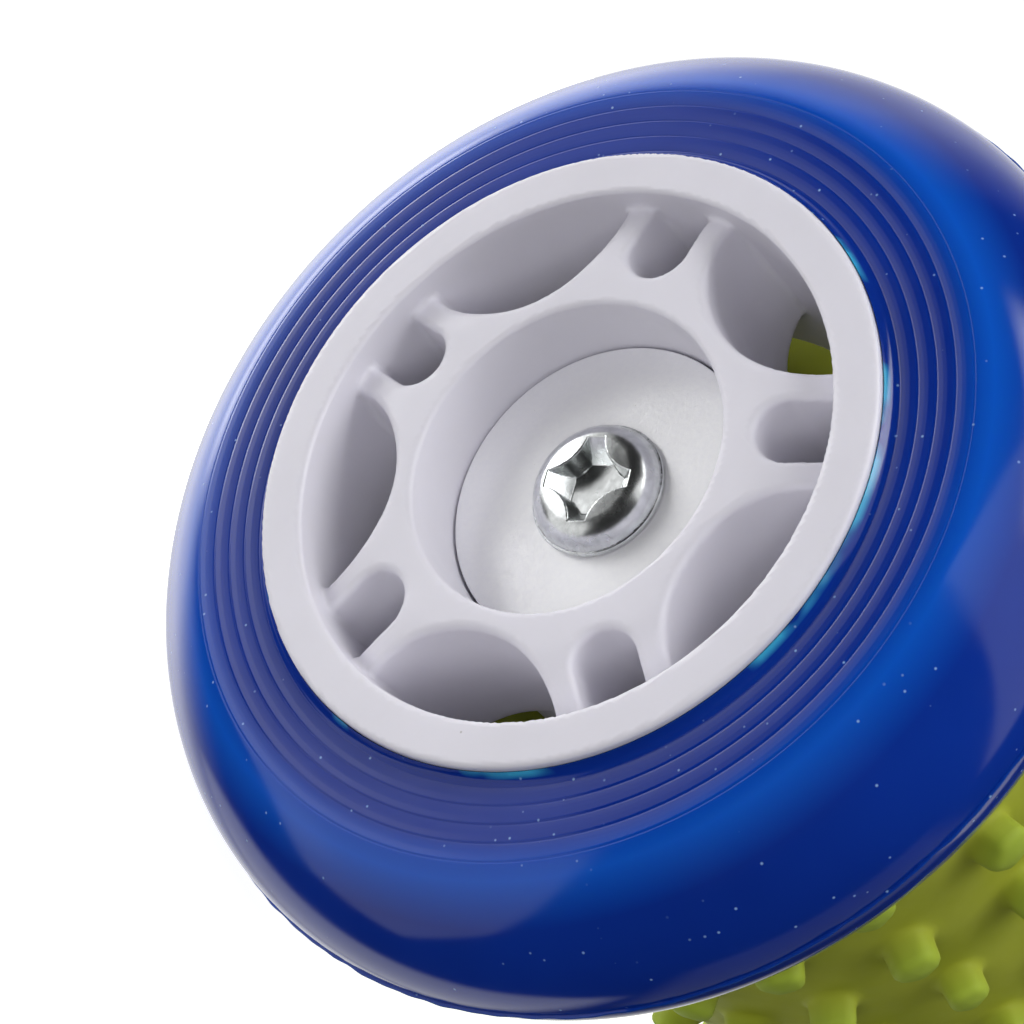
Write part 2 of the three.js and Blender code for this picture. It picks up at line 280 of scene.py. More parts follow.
def revolved(name, points, normals, segments=96):
    """Turns a closed outline of (x, radius) points about the X axis."""
    count = len(points)
    angles = np.arange(segments) * 2 * math.pi / segments
    sine = np.sin(angles)[:, None]
    cosine = np.cos(angles)[:, None]

    def spun(values):
        along = np.broadcast_to(values[:, 0], (segments, count))
        return np.stack([along, values[:, 1] * sine, values[:, 1] * cosine], -1).reshape(-1, 3)

    return mesh_object(name, spun(points), tube_faces(segments, count), spun(normals))


def turned_piece(name, outline, radius=0.2, segments=96):
    """A turned ring with its corners rounded."""
    return revolved(name, *rounded(outline, radius), segments)


def ring_outline(start, end, inner, outer):
    """A plain ring's outline, from start to end along the axle."""
    return [(start, inner), (end, inner), (end, outer), (start, outer)]


# ---------------------------------------------------------------- solids from distance fields


def round_join(a, b, radius):
    """Joins two solids, given as distances, with a fillet."""
    corner = np.hypot(np.maximum(radius - a, 0), np.maximum(radius - b, 0))
    return np.maximum(radius, np.minimum(a, b)) - corner


def round_common(a, b, radius):
    """The common part of two solids, given as distances, with a rounded edge."""
    return -round_join(-a, -b, radius)


def turned_about_axle(y, z, angle):
    """The across and up distances in a frame turned about the axle, from Z towards Y."""
    across = y * math.cos(angle) - z * math.sin(angle)
    up = y * math.sin(angle) + z * math.cos(angle)
    return across, up


def gradient(field, points, step=0.01):
    """The field's gradient at each point, by central differences."""
    slopes = []
    for axis in range(3):
        shift = np.zeros(3)
        shift[axis] = step
        rise = field(*(points + shift).T) - field(*(points - shift).T)
        slopes.append(rise / (2 * step))
    return np.stack(slopes, -1)


def crossing_points(values, inside, low, step):
    """Mean point where the surface crosses each grid cell's edges, and the cells' numbers."""
    cells = tuple(n - 1 for n in inside.shape)
    total = np.zeros(cells + (3,), np.float32)
    count = np.zeros(cells, np.float32)
    for axis in range(3):
        others = [a for a in range(3) if a != axis]
        for offset in itertools.product((0, 1), repeat=2):
            near = [slice(0, n) for n in cells]
            for other, shift in zip(others, offset):
                near[other] = slice(shift, shift + cells[other])
            far = list(near)
            far[axis] = slice(1, cells[axis] + 1)
            start = values[tuple(near)]
            end = values[tuple(far)]
            crossed = inside[tuple(near)] != inside[tuple(far)]
            share = np.where(crossed, start / np.where(crossed, start - end, 1), 0)
            count += crossed
            total[..., axis] += share
            for other, shift in zip(others, offset):
                total[..., other] += crossed * shift
    mixed = count > 0
    numbers = np.full(cells, -1)
    numbers[mixed] = np.arange(mixed.sum())
    corner = np.argwhere(mixed)
    points = low + (corner + total[mixed] / count[mixed][:, None]) * step
    return points, numbers


def surface_quads(inside, numbers):
    """One quad round each grid edge that passes through the surface, facing out."""
    quads = []
    for axis in range(3):
        first, second = [(1, 2), (2, 0), (0, 1)][axis]
        near = [slice(1, -1)] * 3
        near[axis] = slice(0, -1)
        far = [slice(1, -1)] * 3
        far[axis] = slice(1, None)
        leaving = inside[tuple(near)] & ~inside[tuple(far)]
        entering = ~inside[tuple(near)] & inside[tuple(far)]
        for crossed, order in ((leaving, (0, 1, 2, 3)), (entering, (3, 2, 1, 0))):
            edge = np.argwhere(crossed)
            edge[:, first] += 1
            edge[:, second] += 1
            ring = []
            for back_first, back_second in ((1, 1), (0, 1), (0, 0), (1, 0)):
                cell = edge.copy()
                cell[:, first] -= back_first
                cell[:, second] -= back_second
                ring.append(numbers[tuple(cell.T)])
            quads.append(np.stack([ring[i] for i in order], -1))
    return np.concatenate(quads)


def field_mesh(name, field, low, high, step):
    """A mesh of the surface where the field is zero, with its points and normals exactly on it."""
    low = np.asarray(low, float)
    axes = [np.arange(low[a], high[a] + step, step) for a in range(3)]
    values = field(*np.meshgrid(*axes, indexing="ij")).astype(np.float32)
    inside = values < 0
    points, numbers = crossing_points(values, inside, low, step)
    for _ in range(4):
        slope = gradient(field, points)
        size = np.maximum((slope**2).sum(-1), 0.25)
        move = field(*points.T) / size
        points -= slope * np.clip(move, -step / 2, step / 2)[:, None]
    normals = gradient(field, points)
    normals /= np.maximum(np.linalg.norm(normals, axis=1), 1e-6)[:, None]
    return mesh_object(name, points, surface_quads(inside, numbers), normals)


# ---------------------------------------------------------------- wheel shapes


def openings_field(x, radius, angle):
    """Distance to the web's bays and to the slots between them. Both narrow with depth."""
    sector = 2 * math.pi / BAY_COUNT
    depth = np.clip(x - HUB_INSET, 0, WEB_BACK)
    in_bay = np.mod(angle + sector / 2, sector) - sector / 2
    bay_y = radius * np.sin(in_bay)
    bay_z = radius * np.cos(in_bay)
    bay = np.hypot(bay_y, bay_z - BAY_CENTRE) - (BAY_RADIUS - DRAFT * depth)
    in_slot = np.mod(angle, sector) - sector / 2
    slot_y = radius * np.sin(in_slot)
    slot_z = radius * np.cos(in_slot)
    half_width = SLOT_HALF_WIDTH - 0.5 * DRAFT * depth
    slot = np.hypot(slot_y, np.minimum(slot_z - SLOT_END_CENTRE, 0)) - half_width
    return np.minimum(bay, slot)


def core_field(x, y, z):
    """Distance to the wheel core: a rim and hub joined by a web with bays and slots."""
    radius = np.hypot(y, z)
    from_middle = np.abs(x - WHEEL_MIDDLE)
    width = from_middle - WHEEL_WIDTH / 2
    rim = round_common(radius - CORE_RADIUS, width, RIM_EDGE)
    rim = round_common(rim, RIM_INNER_RADIUS - RIM_DRAFT * from_middle - radius, RIM_INNER_EDGE)
    rise = np.clip((radius - HUB_RADIUS) / (RIM_INNER_RADIUS - HUB_RADIUS), 0, 1)
    front = HUB_INSET + (WEB_FRONT - HUB_INSET) * rise**1.5
    web = np.maximum(front - x, x - WEB_BACK)
    web = np.maximum(web, radius - RIM_INNER_RADIUS - WEB_OVERLAP)
    hub = round_common(radius - HUB_RADIUS, width + HUB_INSET, HUB_EDGE)
    web = np.minimum(web, hub)
    web = round_common(web, -openings_field(x, radius, np.arctan2(y, z)), WEB_EDGE)
    solid = round_join(rim, web, WEB_FILLET)
    seat = radius - SEAT_RADIUS + SEAT_DRAFT * (SEAT_DEPTH - width - HUB_INSET)
    seat = np.maximum(seat, WHEEL_MIDDLE - FRONT_SHOULDER - from_middle)
    solid = round_common(solid, -seat, SEAT_EDGE)
    return np.maximum(solid, BORE_RADIUS - radius)


def wheel_core(side, material):
    reach = CORE_RADIUS + CORE_MARGIN
    low = (CORE_GRID_START, -reach, -reach)
    high = (WHEEL_WIDTH + CORE_MARGIN, reach, reach)
    piece = field_mesh(f"{side}_wheel_core", core_field, low, high, CORE_STEP)
    place_at_end(piece, side)
    return finish_piece(piece, f"{side}_wheel", [f"{side}_core"], "white_abs", material)


def ridge_height(radius):
    """Height of the fine ridges moulded round the tyre's side wall: a slope, a flat and a groove each."""
    ridges = (radius - TYRE_SHOULDER_RADIUS) / RIDGE_PITCH + RIDGE_COUNT
    height = np.interp(np.mod(ridges, 1), RIDGE_PROFILE[0], RIDGE_PROFILE[1])
    return np.where((ridges > 0) & (ridges < RIDGE_COUNT), height, 0)


def tyre_half_outline():
    """Points (x, radius) from the core to the crown: a lip, the ridged side wall, the shoulder."""
    half_width = WHEEL_MIDDLE - TYRE_INSET
    crown = TYRE_RADIUS - TYRE_SHOULDER_RADIUS
    wall_radius = np.linspace(TYRE_BORE, TYRE_SHOULDER_RADIUS, TYRE_WALL_POINTS)
    wall_x = TYRE_INSET - ridge_height(wall_radius)
    lift = np.clip(1 - (wall_radius - TYRE_BORE) / LIP_WIDTH, 0, 1)
    wall = np.stack([wall_x - LIP_RISE * lift**2, wall_radius], -1)
    angle = np.linspace(0, math.pi / 2, TYRE_SHOULDER_POINTS)[1:]
    arc_radius = TYRE_SHOULDER_RADIUS + crown * np.sin(angle) ** SHOULDER_TAPER
    arc_x = WHEEL_MIDDLE - half_width * np.cos(angle)
    arc = np.stack([arc_x, arc_radius], -1)
    return np.concatenate([wall, arc])


def smooth_noise(angles, seed, waves):
    """Periodic noise round the axle, from a few seeded harmonics. About -1 to 1."""
    source = np.random.default_rng(seed)
    total = np.zeros_like(angles)
    for wave in waves:
        total += source.uniform(0.4, 1) * np.sin(wave * angles + source.uniform(0, 2 * math.pi))
    return total / math.sqrt(len(waves))


def wheel_tyre(side, material):
    """Tyre with ridged side walls and round shoulders."""
    half = tyre_half_outline()
    mirror = half[::-1] * (-1, 1) + (WHEEL_WIDTH, 0)
    outline = np.concatenate([half, mirror[1:]])
    bore = np.array([(WHEEL_WIDTH - TYRE_BORE_INSET, TYRE_BORE), (TYRE_BORE_INSET, TYRE_BORE)])
    outline = np.concatenate([outline, bore])
    tangent = np.roll(outline, -1, 0) - np.roll(outline, 1, 0)
    normals = np.stack([-tangent[:, 1], tangent[:, 0]], -1)
    normals /= np.linalg.norm(normals, axis=1)[:, None]
    piece = revolved(f"{side}_wheel_tyre", outline, normals, TYRE_SEGMENTS)
    place_at_end(piece, side)
    return finish_piece(piece, f"{side}_wheel", [f"{side}_tyre"], "blue_polyurethane", material)


def parting_flash(side, material, seed):
    """The thin fin of flash that stands along the middle of the tread."""
    angles = np.arange(FLASH_SEGMENTS) * 2 * math.pi / FLASH_SEGMENTS
    swell = 0.5 + 0.5 * smooth_noise(angles, seed, (1, 2, 3, 5))
    ragged = smooth_noise(angles, seed + 1, (17, 29, 41, 67, 97))
    height = FLASH_HEIGHT * np.clip(0.35 + 0.5 * swell + 0.16 * ragged, 0.1, 1.15)
    lean = FLASH_LEAN * smooth_noise(angles, seed + 2, (2, 7, 13, 31))
    base = TYRE_RADIUS - FLASH_ROOT_DEPTH
    profile = [(-FLASH_HALF_WIDTH, 0.0), (-0.05, 0.85), (0.0, 1.0), (0.05, 0.85), (FLASH_HALF_WIDTH, 0.0)]
    points = []
    for across, share in profile:
        radius = base + share * (height + FLASH_ROOT_DEPTH)
        along = WHEEL_MIDDLE + across + lean * share
        points.append(np.stack([along, radius * np.sin(angles), radius * np.cos(angles)], -1))
    points = np.stack(points, 1).reshape(-1, 3)
    piece = mesh_object(f"{side}_parting_flash", points, tube_faces(FLASH_SEGMENTS, len(profile)))
    place_at_end(piece, side)
    piece.data.materials.append(material)
    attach(piece, f"{side}_wheel")
    return piece


# ---------------------------------------------------------------- fittings


def screw_field(x, y, z):
    """Distance to the screw: a low pan head on a thin flange, its cross recess and its shank."""
    radius = np.hypot(y, z)
    height = WASHER_FRONT - HEAD_GAP - x
    crown = np.hypot(radius, height - (HEAD_HEIGHT - CROWN_RADIUS)) - CROWN_RADIUS
    pan = round_common(crown, radius - HEAD_RADIUS + PAN_INSET, HEAD_SHOULDER)
    flange = round_common(radius - HEAD_RADIUS, height - FLANGE_HEIGHT, HEAD_EDGE)
    head = round_common(np.minimum(pan, flange), -height, HEAD_EDGE)
    across, up = turned_about_axle(y, z, RECESS_TURN)
    depth = HEAD_HEIGHT - height
    square = np.maximum(np.abs(across), np.abs(up)) - (RECESS_REACH - RECESS_TAPER * depth)
    from_post = np.hypot(np.abs(across) - RECESS_POST_CENTRE, np.abs(up) - RECESS_POST_CENTRE)
    recess = np.maximum(square, RECESS_POST_RADIUS + RECESS_POST_DRAFT * depth - from_post)
    recess = np.maximum(recess, depth - RECESS_DEPTH)
    head = round_common(head, -recess, RECESS_EDGE)
    shank = np.maximum(radius - SHANK_RADIUS, np.abs(height + SHANK_LENGTH / 2) - SHANK_LENGTH / 2)
    return np.minimum(head, shank)


def retaining_screw(side, material):
    reach = HEAD_RADIUS + SCREW_MARGIN
    base = WASHER_FRONT - HEAD_GAP
    low = (base - HEAD_HEIGHT - SCREW_MARGIN, -reach, -reach)
    high = (base + SHANK_LENGTH + SCREW_MARGIN, reach, reach)
    piece = field_mesh(f"{side}_screw", screw_field, low, high, SCREW_STEP)
    place_at_end(piece, side)
    return finish_piece(piece, "axle_assembly", [f"{side}_retaining_screw"], "nickel_plate", material)


def retaining_washer(side, material):
    back = WASHER_FRONT + WASHER_THICKNESS
    outline = ring_outline(WASHER_FRONT, back, WASHER_BORE, SEAT_RADIUS - WASHER_CLEARANCE)
    piece = turned_piece(f"{side}_washer", outline, WASHER_EDGE, WASHER_SEGMENTS)
    place_at_end(piece, side)
    return finish_piece(piece, "axle_assembly", [f"{side}_retaining_washer"], "zinc_plate", material)


def span(node):
    """Where a CAD node of the left end starts and ends, from the left wheel's outer face."""
    start = cad_start(node)
    return start, start + cad_size(node).x


def drum_bush_outline():
    """A bush with a flange against the drum's end."""
    start, end = span("left_drum_bush")
    flange = start + BUSH_FLANGE
    return [
        (start, BORE_RADIUS),
        (end, BORE_RADIUS),
        (end, BUSH_BARREL_RADIUS),
        (flange, BUSH_BARREL_RADIUS),
        (flange, BUSH_FLANGE_RADIUS),
        (start, BUSH_FLANGE_RADIUS),
    ]


def end_plug_outline():
    """A plug with a long hub, a disc inside the skin's end wall and a short skirt behind the disc."""
    drum_start = cad_start("drum_skin")
    start = drum_start + BUSH_FLANGE + PLUG_GAP
    hub_end = drum_start + PLUG_HUB_LENGTH
    disc_start = drum_start + SKIN_WALL + PLUG_DISC_GAP
    disc_end = disc_start + PLUG_DISC
    skirt_end = disc_start + PLUG_SKIRT
    return [
        (start, PLUG_BORE),
        (hub_end, PLUG_BORE),
        (hub_end, PLUG_HUB_RADIUS),
        (disc_end, PLUG_HUB_RADIUS),
        (disc_end, PLUG_SKIRT_INNER),
        (skirt_end, PLUG_SKIRT_INNER),
        (skirt_end, PLUG_SKIRT_OUTER),
        (disc_end, PLUG_SKIRT_OUTER),
        (disc_end, PLUG_RADIUS),
        (disc_start, PLUG_RADIUS),
        (disc_start, PLUG_HUB_RADIUS),
        (start, PLUG_HUB_RADIUS),
    ]


def inner_fittings(side, nylon, grey):
    """The bushes, thrust washer and end plug between a wheel and the drum."""
    wheel_bush = ring_outline(*span("left_wheel_bush"), BORE_RADIUS, SEAT_RADIUS - WHEEL_BUSH_GAP)
    thrust = ring_outline(*span("left_thrust_washer"), BORE_RADIUS, THRUST_RADIUS)
    rings = [
        ("wheel_bush_ring", f"{side}_wheel", "wheel_bush", "nylon", nylon, wheel_bush),
        ("thrust_ring", "axle_assembly", "thrust_washer", "nylon", nylon, thrust),
        ("flanged_bush", "drum", "drum_bush", "nylon", nylon, drum_bush_outline()),
        ("plug_moulding", "drum", "end_plug", "grey_plastic", grey, end_plug_outline()),
    ]
    for name, body, node, slot, material, outline in rings:
        piece = turned_piece(f"{side}_{name}", outline)
        place_at_end(piece, side)
        finish_piece(piece, body, [f"{side}_{node}"], slot, material)


# ---------------------------------------------------------------- drum


def nub_profile():
    """A nub's rings as (distance from its axis, height): flared root, side, rounded tip."""
    flare = [(NUB_RADIUS + 0.75, 0.0), (NUB_RADIUS + 0.38, 0.07), (NUB_RADIUS + 0.14, 0.26)]
    side = [(NUB_RADIUS, 0.6), (NUB_RADIUS - 0.12, NUB_HEIGHT - 0.9)]
    tip = []
    for k in range(1, 5):
        angle = math.pi / 2 * k / 4
        tip.append((NUB_RADIUS - 0.95 + 0.83 * math.cos(angle), NUB_HEIGHT - 0.9 + 0.72 * math.sin(angle)))
    return flare + side + tip + [(0.45 * (NUB_RADIUS - 0.95), NUB_HEIGHT - 0.1)]


def cell_border(segments):
    """Points in even steps round the border of a square cell that reaches from -1 to 1."""
    border = []
    for k in range(4 * segments):
        edge, place = divmod(k, segments)
        run = 2 * place / segments - 1
        border.append([(run, -1), (1, run), (-run, 1), (-1, -run)][edge])
    return np.array(border, float)


def nub_faces(ring_count, steps, tip):
    """Quads between a cell's rings, and triangles from the last ring to the tip."""
    faces = []
    for ring in range(ring_count - 1):
        low = ring * steps
        high = low + steps
        for k in range(steps):
            nxt = (k + 1) % steps
            faces.append((low + k, low + nxt, high + nxt, high + k))
    last = (ring_count - 1) * steps
    for k in range(steps):
        faces.append((last + k, last + (k + 1) % steps, tip))
    return faces


def nub_patch(source, segments):
    """One cell of the skin with its nub: points as (angle share, along, height) and quads.

    The cell's border is a square of even steps, so that it meets its neighbours, and its rings
    shrink from the border to the nub's root and then climb the nub.
    """
    steps = 4 * segments
    half = np.array([math.pi * SKIN_RADIUS / NUB_ROWS, NUB_PITCH / 2])
    square = cell_border(segments) * half
    heading = np.arctan2(square[:, 1], square[:, 0])
    phases = source.uniform(0, 2 * math.pi, 3)
    lobes = 1 + 0.05 * np.cos(2 * heading + phases[0]) + 0.045 * np.cos(5 * heading + phases[1])
    lobes += 0.03 * np.cos(3 * heading + phases[2])
    centre = source.uniform(-0.45, 0.45, 2)
    lean = source.uniform(-0.09, 0.09, 2)
    size = source.uniform(0.93, 1.07)
    tall = source.uniform(0.93, 1.04)
    circle = np.stack([np.cos(heading), np.sin(heading)], -1)
    rings = [np.column_stack([square, np.zeros(steps)])]
    root = nub_profile()[0][0] * size * circle + centre
    for share in (0.4, 0.75):
        blend = square * (1 - share) + root * share
        rings.append(np.column_stack([blend, np.zeros(steps)]))
    for radius, height in nub_profile():
        reach = radius * size * (circle * (1 + (lobes - 1) * min(height / 0.6, 1))[:, None])
        rise = height * tall
        rings.append(np.column_stack([reach + centre + lean * rise, np.full(steps, rise)]))
    tip = np.array([[*(centre + lean * NUB_HEIGHT * tall), (NUB_HEIGHT - 0.06) * tall]])
    points = np.concatenate(rings + [tip])
    return points, nub_faces(len(rings), steps, len(points) - 1)


def plain_patch(columns, rows, half_across, half_along):
    """A flat cell of the skin, for the ends of the shorter rows of nubs."""
    across = np.linspace(-half_across, half_across, rows + 1)
    along = np.linspace(-half_along, half_along, columns + 1)
    points = np.array([(a, b, 0.0) for b in along for a in across])
    faces = []
    for j in range(columns):
        for i in range(rows):
            corner = j * (rows + 1) + i
            faces.append((corner, corner + 1, corner + rows + 2, corner + rows + 1))
    return points, faces


def skin_cells(segments):
    """Every cell of the skin, in skin coordinates: (distance round, distance along, height)."""
    source = np.random.default_rng(7)
    row_width = 2 * math.pi * SKIN_RADIUS / NUB_ROWS
    for row in range(NUB_ROWS):
        round_place = row * row_width
        long_row = row % 2 == 1
        count = LONG_ROW_COUNT if long_row else LONG_ROW_COUNT - 1
        for column in range(count):
            points, faces = nub_patch(source, segments)
            along = (column - (count - 1) / 2) * NUB_PITCH
            yield points + (round_place, along, 0), faces
        if not long_row:
            for end in (-1, 1):
                points, faces = plain_patch(segments // 2, segments, row_width / 2, NUB_PITCH / 4)
                yield points + (round_place, end * (count / 2 + 0.25) * NUB_PITCH, 0), faces


def end_lip():
    """Points (x, radius) from the right end's outer edge round its end wall to the inner wall."""
    end = DRUM_LENGTH / 2
    steps = 4
    lip = [(LONG_ROW_COUNT / 2 * NUB_PITCH, SKIN_RADIUS), (end - SKIN_EDGE, SKIN_RADIUS)]
    for k in range(1, steps + 1):
        turn = math.pi / 2 * k / steps
        along = end - SKIN_EDGE + SKIN_EDGE * math.sin(turn)
        lip.append((along, SKIN_RADIUS - SKIN_EDGE + SKIN_EDGE * math.cos(turn)))
    return lip + [
        (end, END_WALL_MIDDLE),
        (end, SKIN_HOLE_RADIUS + HOLE_CHAMFER),
        (end - HOLE_CHAMFER, SKIN_HOLE_RADIUS),
        (end - SKIN_WALL, SKIN_HOLE_RADIUS),
        (end - SKIN_WALL, SKIN_RADIUS - SKIN_WALL),
    ]


def outer_surface(segments):
    """The skin's outer surface with its nubs, as points and faces.

    Distance round, distance along and height are a left-handed frame, so the cells' faces are turned over.
    """
    points = []
    faces = []
    total = 0
    for cell_points, cell_faces in skin_cells(segments):
        points.append(cell_points)
        faces.extend(tuple(i + total for i in face[::-1]) for face in cell_faces)
        total += len(cell_points)
    flat = np.concatenate(points)
    angle = flat[:, 0] / SKIN_RADIUS + NUB_ROW_START
    radius = SKIN_RADIUS + flat[:, 2]
    return np.stack([flat[:, 1], radius * np.sin(angle), radius * np.cos(angle)], -1), faces


def drum_skin(material):
    """The soft skin with its nubs, closed over the drum's ends and along its inner wall."""
    segments = 6
    outer, faces = outer_surface(segments)
    around = NUB_ROWS * segments
    lip = end_lip()
    chain = [(-along, reach) for along, reach in lip] + lip[::-1]
    angles = NUB_ROW_START - math.pi / NUB_ROWS + np.arange(around) * 2 * math.pi / around
    rings = [
        np.stack([np.full(around, along), reach * np.sin(angles), reach * np.cos(angles)], -1)
        for along, reach in chain
    ]
    for ring in range(len(chain) - 1):
        low = len(outer) + ring * around
        for k in range(around):
            nxt = (k + 1) % around
            faces.append((low + k, low + nxt, low + around + nxt, low + around + k))
    piece = skin_object("drum_nubbed_skin", np.concatenate([outer, *rings]), faces)
    piece.location.z = AXLE_HEIGHT * MM
    return finish_piece(piece, "drum", ["drum_skin"], "green_vinyl", material)


def skin_object(name, points, faces):
    """A mesh from cells that share their borders, with the doubled border points merged."""
    mesh = bpy.data.meshes.new(name)
    mesh.from_pydata((points * MM).tolist(), [], faces)
    piece = bpy.data.objects.new(name, mesh)
    bpy.context.scene.collection.objects.link(piece)
    weld = piece.modifiers.new("weld", "WELD")
    weld.merge_threshold = WELD_REACH * MM
    bpy.context.view_layer.update()
    welded = bpy.data.meshes.new_from_object(piece.evaluated_get(bpy.context.evaluated_depsgraph_get()))
    piece.modifiers.clear()
    piece.data = welded
    bpy.data.meshes.remove(mesh)
    welded.name = name
    welded.shade_smooth()
    return piece


def drum_inside(grey, steel):
    """The tube under the skin, the axle tube and its threaded inserts."""
    half_tube = cad_size("drum_tube").x / 2
    half_axle = AXLE_LENGTH / 2
    tube = turned_piece("drum_inner_tube", ring_outline(-half_tube, half_tube, TUBE_INNER, TUBE_OUTER))
    axle = turned_piece(
        "axle_tube", ring_outline(-half_axle, half_axle, AXLE_RADIUS - AXLE_WALL, AXLE_RADIUS), 0.4
    )
    for piece in (tube, axle):
        piece.location.z = AXLE_HEIGHT * MM
    finish_piece(tube, "drum", ["drum_tube"], "grey_plastic", grey)
    finish_piece(axle, "axle_assembly", ["axle"], "ground_steel", steel)
    outline = ring_outline(*span("left_threaded_insert"), INSERT_BORE, INSERT_RADIUS)
    for side in ("left", "right"):
        insert = turned_piece(f"{side}_insert", outline)
        place_at_end(insert, side)
        finish_piece(insert, "axle_assembly", [f"{side}_threaded_insert"], "zinc_plate", steel)


# ---------------------------------------------------------------- materials


class Nodes:
    """A short way to build a node tree. A material's textures are placed by object coordinates."""

    def __init__(self, block, coordinates="Object"):
        block.use_nodes = True
        self.block = block
        self.tree = block.node_tree
        self.shader = self.tree.nodes.get("Principled BSDF") or self.tree.nodes.get("Background")
        self.place = self.add("ShaderNodeTexCoord").outputs[coordinates]

    def add(self, kind, **settings):
        node = self.tree.nodes.new(kind)
        for key, value in settings.items():
            setattr(node, key, value)
        return node

    def link(self, source, target):
        if isinstance(source, (int, float, tuple)):
            target.default_value = source
        else:
            self.tree.links.new(source, target)

    def math(self, operation, *values, clamp=False):
        node = self.add("ShaderNodeMath", operation=operation, use_clamp=clamp)
        for value, socket in zip(values, node.inputs):
            self.link(value, socket)
        return node.outputs[0]

    def dot(self, vector, fixed):
        """Dot product with a fixed vector."""
        node = self.add("ShaderNodeVectorMath", operation="DOT_PRODUCT")
        self.link(vector, node.inputs[0])
        node.inputs[1].default_value = fixed
        return node.outputs["Value"]

    def noise(self, scale, detail=3.0, roughness=0.5, place=None):
        node = self.add("ShaderNodeTexNoise")
        self.link(place or self.place, node.inputs["Vector"])
        node.inputs["Scale"].default_value = scale
        node.inputs["Detail"].default_value = detail
        node.inputs["Roughness"].default_value = roughness
        return node.outputs["Fac"]

    def cells(self, scale):
        node = self.add("ShaderNodeTexVoronoi")
        self.link(self.place, node.inputs["Vector"])
        node.inputs["Scale"].default_value = scale
        return node.outputs["Distance"]

    def ramp(self, value, low, high, start=0.0, end=1.0):
        """Maps a value from low..high to start..end, held at both ends."""
        node = self.add("ShaderNodeMapRange")
        self.link(value, node.inputs["Value"])
        for name, number in (("From Min", low), ("From Max", high), ("To Min", start), ("To Max", end)):
            node.inputs[name].default_value = number
        return node.outputs["Result"]

    def mix(self, share, first, second):
        """Mixes two colours."""
        node = self.add("ShaderNodeMix", data_type="RGBA")
        self.link(share, node.inputs[0])
        for colour, socket in ((first, node.inputs[6]), (second, node.inputs[7])):
            if isinstance(colour, tuple):
                socket.default_value = (*colour, 1)
            else:
                self.tree.links.new(colour, socket)
        return node.outputs[2]

    def bump(self, height, strength, distance_mm):
        node = self.add("ShaderNodeBump")
        node.inputs["Strength"].default_value = strength
        node.inputs["Distance"].default_value = distance_mm * MM
        self.link(height, node.inputs["Height"])
        self.link(node.outputs["Normal"], self.shader.inputs["Normal"])

    def set(self, **values):
        """Sets or links the shader's sockets: spaces in their names are written as underscores."""
        for key, value in values.items():
            socket = self.shader.inputs[key.replace("_", " ")]
            if isinstance(value, tuple) and len(value) == 3 and socket.type == "RGBA":
                socket.default_value = (*value, 1)
            else:
                self.link(value, socket)

    def radius(self):
        """Distance from the axle, in millimetres."""
        parts = self.add("ShaderNodeSeparateXYZ")
        self.link(self.place, parts.inputs[0])
        squares = [self.math("POWER", parts.outputs[i], 2.0) for i in (1, 2)]
        return self.math("MULTIPLY", self.math("SQRT", self.math("ADD", *squares)), 1 / MM)


def material_nodes(name):
    return Nodes(bpy.data.materials.new(name))


def white_abs_material():
    """Off-white moulded plastic with faint mould grain and a few dirt specks."""
    n = material_nodes("white_abs")
    cloud = n.noise(140, 4)
    speck = n.ramp(n.cells(420), 0.045, 0.02)
    speck_mask = n.ramp(n.noise(230, 2), 0.58, 0.66)
    dirt = n.math("MULTIPLY", speck, speck_mask, clamp=True)
    plain = n.mix(n.ramp(cloud, 0.35, 0.7), (0.80, 0.785, 0.86), (0.77, 0.755, 0.825))
    n.set(Base_Color=n.mix(dirt, plain, (0.2, 0.17, 0.13)))
    n.set(Roughness=n.ramp(n.noise(900, 2), 0.3, 0.7, 0.38, 0.52))
    n.set(Subsurface_Weight=0.25, Subsurface_Radius=(1.0, 0.97, 0.9), Subsurface_Scale=0.001)
    n.bump(n.noise(1400, 3), 0.12, 0.06)
    return n.block


def blue_tyre_material():
    """Glossy blue polyurethane with a painted glow: a paler band at the shoulder stands in for light
    through the rubber. Pale scrapings beside the core, and dust.
    """
    n = material_nodes("blue_polyurethane")
    cloud = n.noise(45, 3)
    dust = n.ramp(n.cells(760), 0.09, 0.03)
    dust_mask = n.ramp(n.noise(160, 3), 0.38, 0.48)
    dust = n.math("MULTIPLY", dust, dust_mask, clamp=True)
    plain = n.mix(n.ramp(cloud, 0.3, 0.7), (0.003, 0.025, 0.26), (0.004, 0.035, 0.33))
    radius = n.radius()
    # Painted glow: a paler blue band round the shoulder stands in for light shining through the rubber.
    rising = n.ramp(radius, TYRE_SHOULDER_RADIUS - 1.5, TYRE_SHOULDER_RADIUS + 1)
    falling = n.ramp(radius, TYRE_SHOULDER_RADIUS + 1, TYRE_SHOULDER_RADIUS + 3.5, 1, 0)
    painted_glow = n.math("MULTIPLY", rising, falling)
    plain = n.mix(painted_glow, plain, (0.004, 0.095, 0.56))
    at_core = n.ramp(radius, CORE_RADIUS + 0.4, CORE_RADIUS + 0.15)
    scraped = n.math("MULTIPLY", at_core, n.ramp(n.noise(110, 3), 0.54, 0.6))
    plain = n.mix(scraped, plain, (0.05, 0.40, 0.75))
    n.set(Base_Color=n.mix(dust, plain, (0.25, 0.42, 0.75)))
    smooth = n.ramp(n.noise(300, 3), 0.3, 0.7, 0.08, 0.14)
    n.set(Roughness=n.math("ADD", smooth, n.math("MULTIPLY", dust, 0.3)))
    n.set(Subsurface_Weight=0.25, Subsurface_Radius=(0.1, 0.3, 1.0), Subsurface_Scale=0.003)
    n.set(Specular_IOR_Level=0.45, IOR=1.5)
    n.bump(n.noise(260, 2), 0.05, 0.05)
    return n.block


